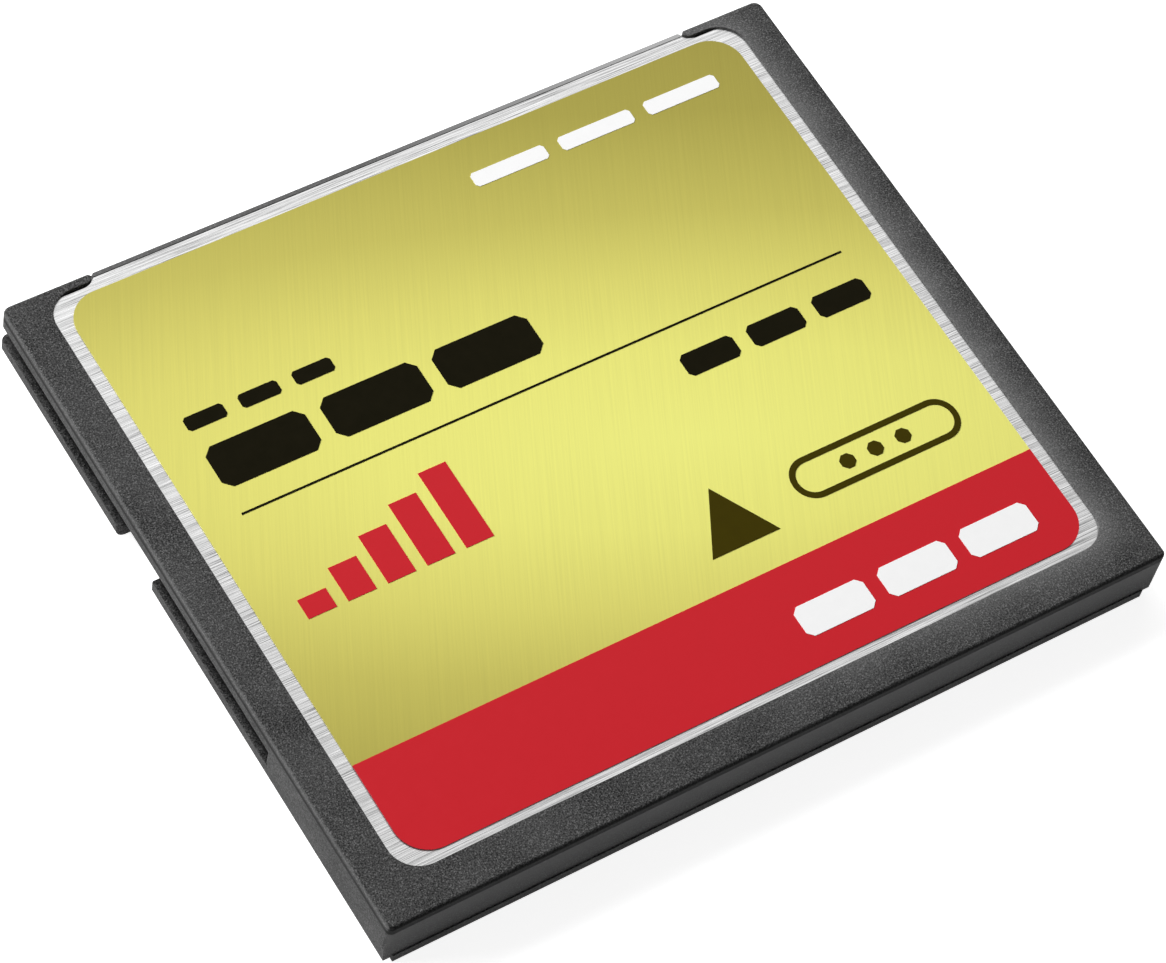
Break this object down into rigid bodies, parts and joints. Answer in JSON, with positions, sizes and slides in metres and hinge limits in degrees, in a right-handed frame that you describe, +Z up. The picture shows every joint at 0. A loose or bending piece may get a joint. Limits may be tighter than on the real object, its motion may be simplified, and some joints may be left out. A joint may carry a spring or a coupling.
{
  "type": "compact flash card",
  "caption": "Flat memory card with a black guide-slotted frame, brushed metal panels, a gold and red label, and a pin socket along one edge.",
  "frame": {"origin": "middle of the card in plan, at the height of its lowest point, the underside of the pull lip", "axes": "+Z up through the label, +Y towards the socket edge, +X to the right of the label"},
  "size_m": [0.0428, 0.0364, 0.0036],
  "materials": {
    "frame_plastic": "fine matte grain, charcoal black",
    "panel_steel": "brushed across the card",
    "label_film": "satin gold film, darker towards the socket",
    "red_ink": "satin",
    "black_ink": "satin",
    "olive_ink": "satin",
    "white_ink": "satin",
    "socket_plastic": "smooth matte",
    "contact_gold": "gold plated",
    "board_laminate": "green solder mask",
    "chip_body": "moulded epoxy",
    "crystal_can": "metal lid on a ceramic base",
    "ferrite": "sintered",
    "capacitor_case": "moulded epoxy",
    "capacitor_ceramic": "sintered",
    "resistor_ceramic": "glazed",
    "insulating_film": "amber polyimide film"
  },
  "bodies": {
    "root": {"main_frame": "frame_plastic", "top_frame": "frame_plastic", "top_panel": "panel_steel", "bottom_panel": "panel_steel", "front_label": "label_film", "label_red_print": "red_ink", "label_black_print": "black_ink", "label_olive_print": "olive_ink", "label_white_print": "white_ink", "connector_housing": "socket_plastic", "socket_contacts_upper": "contact_gold", "socket_contacts_lower": "contact_gold", "circuit_board": "board_laminate", "flash_chip_left": "chip_body", "flash_chip_right": "chip_body", "controller_chip": "chip_body", "crystal": "crystal_can", "voltage_regulator": "chip_body", "power_inductor": "ferrite", "bulk_capacitors": "capacitor_case", "reset_chip": "chip_body", "decoupling_capacitors": "capacitor_ceramic", "resistor_arrays": "resistor_ceramic", "top_insulator": "insulating_film", "bottom_insulator": "insulating_film"}
  },
  "joints": []
}
